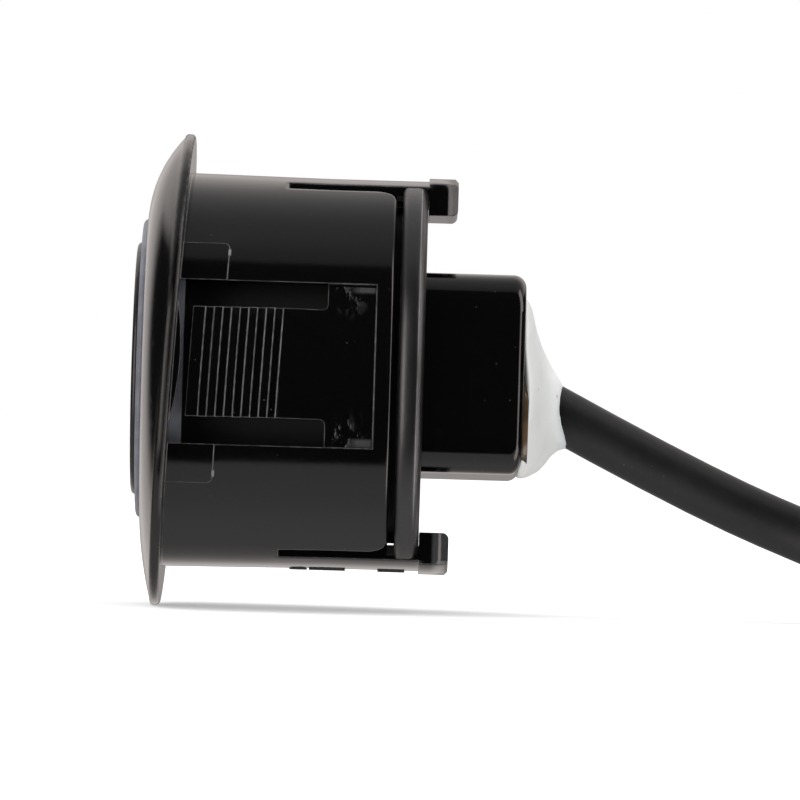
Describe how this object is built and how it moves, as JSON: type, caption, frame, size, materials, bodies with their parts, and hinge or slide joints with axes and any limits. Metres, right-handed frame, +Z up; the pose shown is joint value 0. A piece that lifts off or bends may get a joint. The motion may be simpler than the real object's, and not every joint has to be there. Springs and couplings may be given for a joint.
{
  "type": "ultrasonic parking sensor",
  "caption": "Ultrasonic parking sensor in a leaning snap-in bumper bezel with ribbed side clips and hooked arms, on a cable that ends in a coil and a plug.",
  "frame": {"origin": "point where the body's axis meets the leaning back face of the bezel's flange", "axes": "+X along the body's axis from the flange to the cable, +Z up, the sensor's face looks along -X"},
  "size_m": [0.0954, 0.047, 0.0262],
  "materials": {
    "bezel_plastic": "gloss",
    "housing_plastic": "gloss",
    "keeper_plastic": "satin",
    "ring_silicone": "satin",
    "cup_paint": "satin",
    "piezo_ceramic": "matte",
    "lead_metal": "satin",
    "damper_cork": "matte",
    "filling_silicone": "satin",
    "board_laminate": "satin",
    "core_ferrite": "matte",
    "winding_copper": "satin",
    "chip_plastic": "matte",
    "leg_metal": "satin",
    "capacitor_ceramic": "matte",
    "wire_insulation": "satin",
    "resin_amber": "gloss",
    "seal_silicone": "satin",
    "cable_jacket": "satin",
    "tie_plastic": "satin",
    "plug_plastic": "satin"
  },
  "bodies": {
    "root": {"bezel": "bezel_plastic", "silicone_ring": "ring_silicone", "sensing_cup": "cup_paint", "piezo_disc": "piezo_ceramic", "piezo_leads": "lead_metal", "damping_disc": "damper_cork", "cup_filling": "filling_silicone", "sensor_housing": "housing_plastic", "keeper_ring": "keeper_plastic", "contact_pins": "lead_metal", "circuit_board": "board_laminate", "transformer_core": "core_ferrite", "transformer_winding": "winding_copper", "driver_chip": "chip_plastic", "chip_legs": "leg_metal", "capacitors": "capacitor_ceramic", "resistors": "chip_plastic", "core_wires": "wire_insulation", "potting_resin": "resin_amber", "cable_seal": "seal_silicone", "cable": "cable_jacket", "cable_coil": "cable_jacket", "coil_tie": "tie_plastic", "plug_housing": "plug_plastic", "plug_contacts": "lead_metal", "plug_boot": "cable_jacket"}
  },
  "joints": []
}
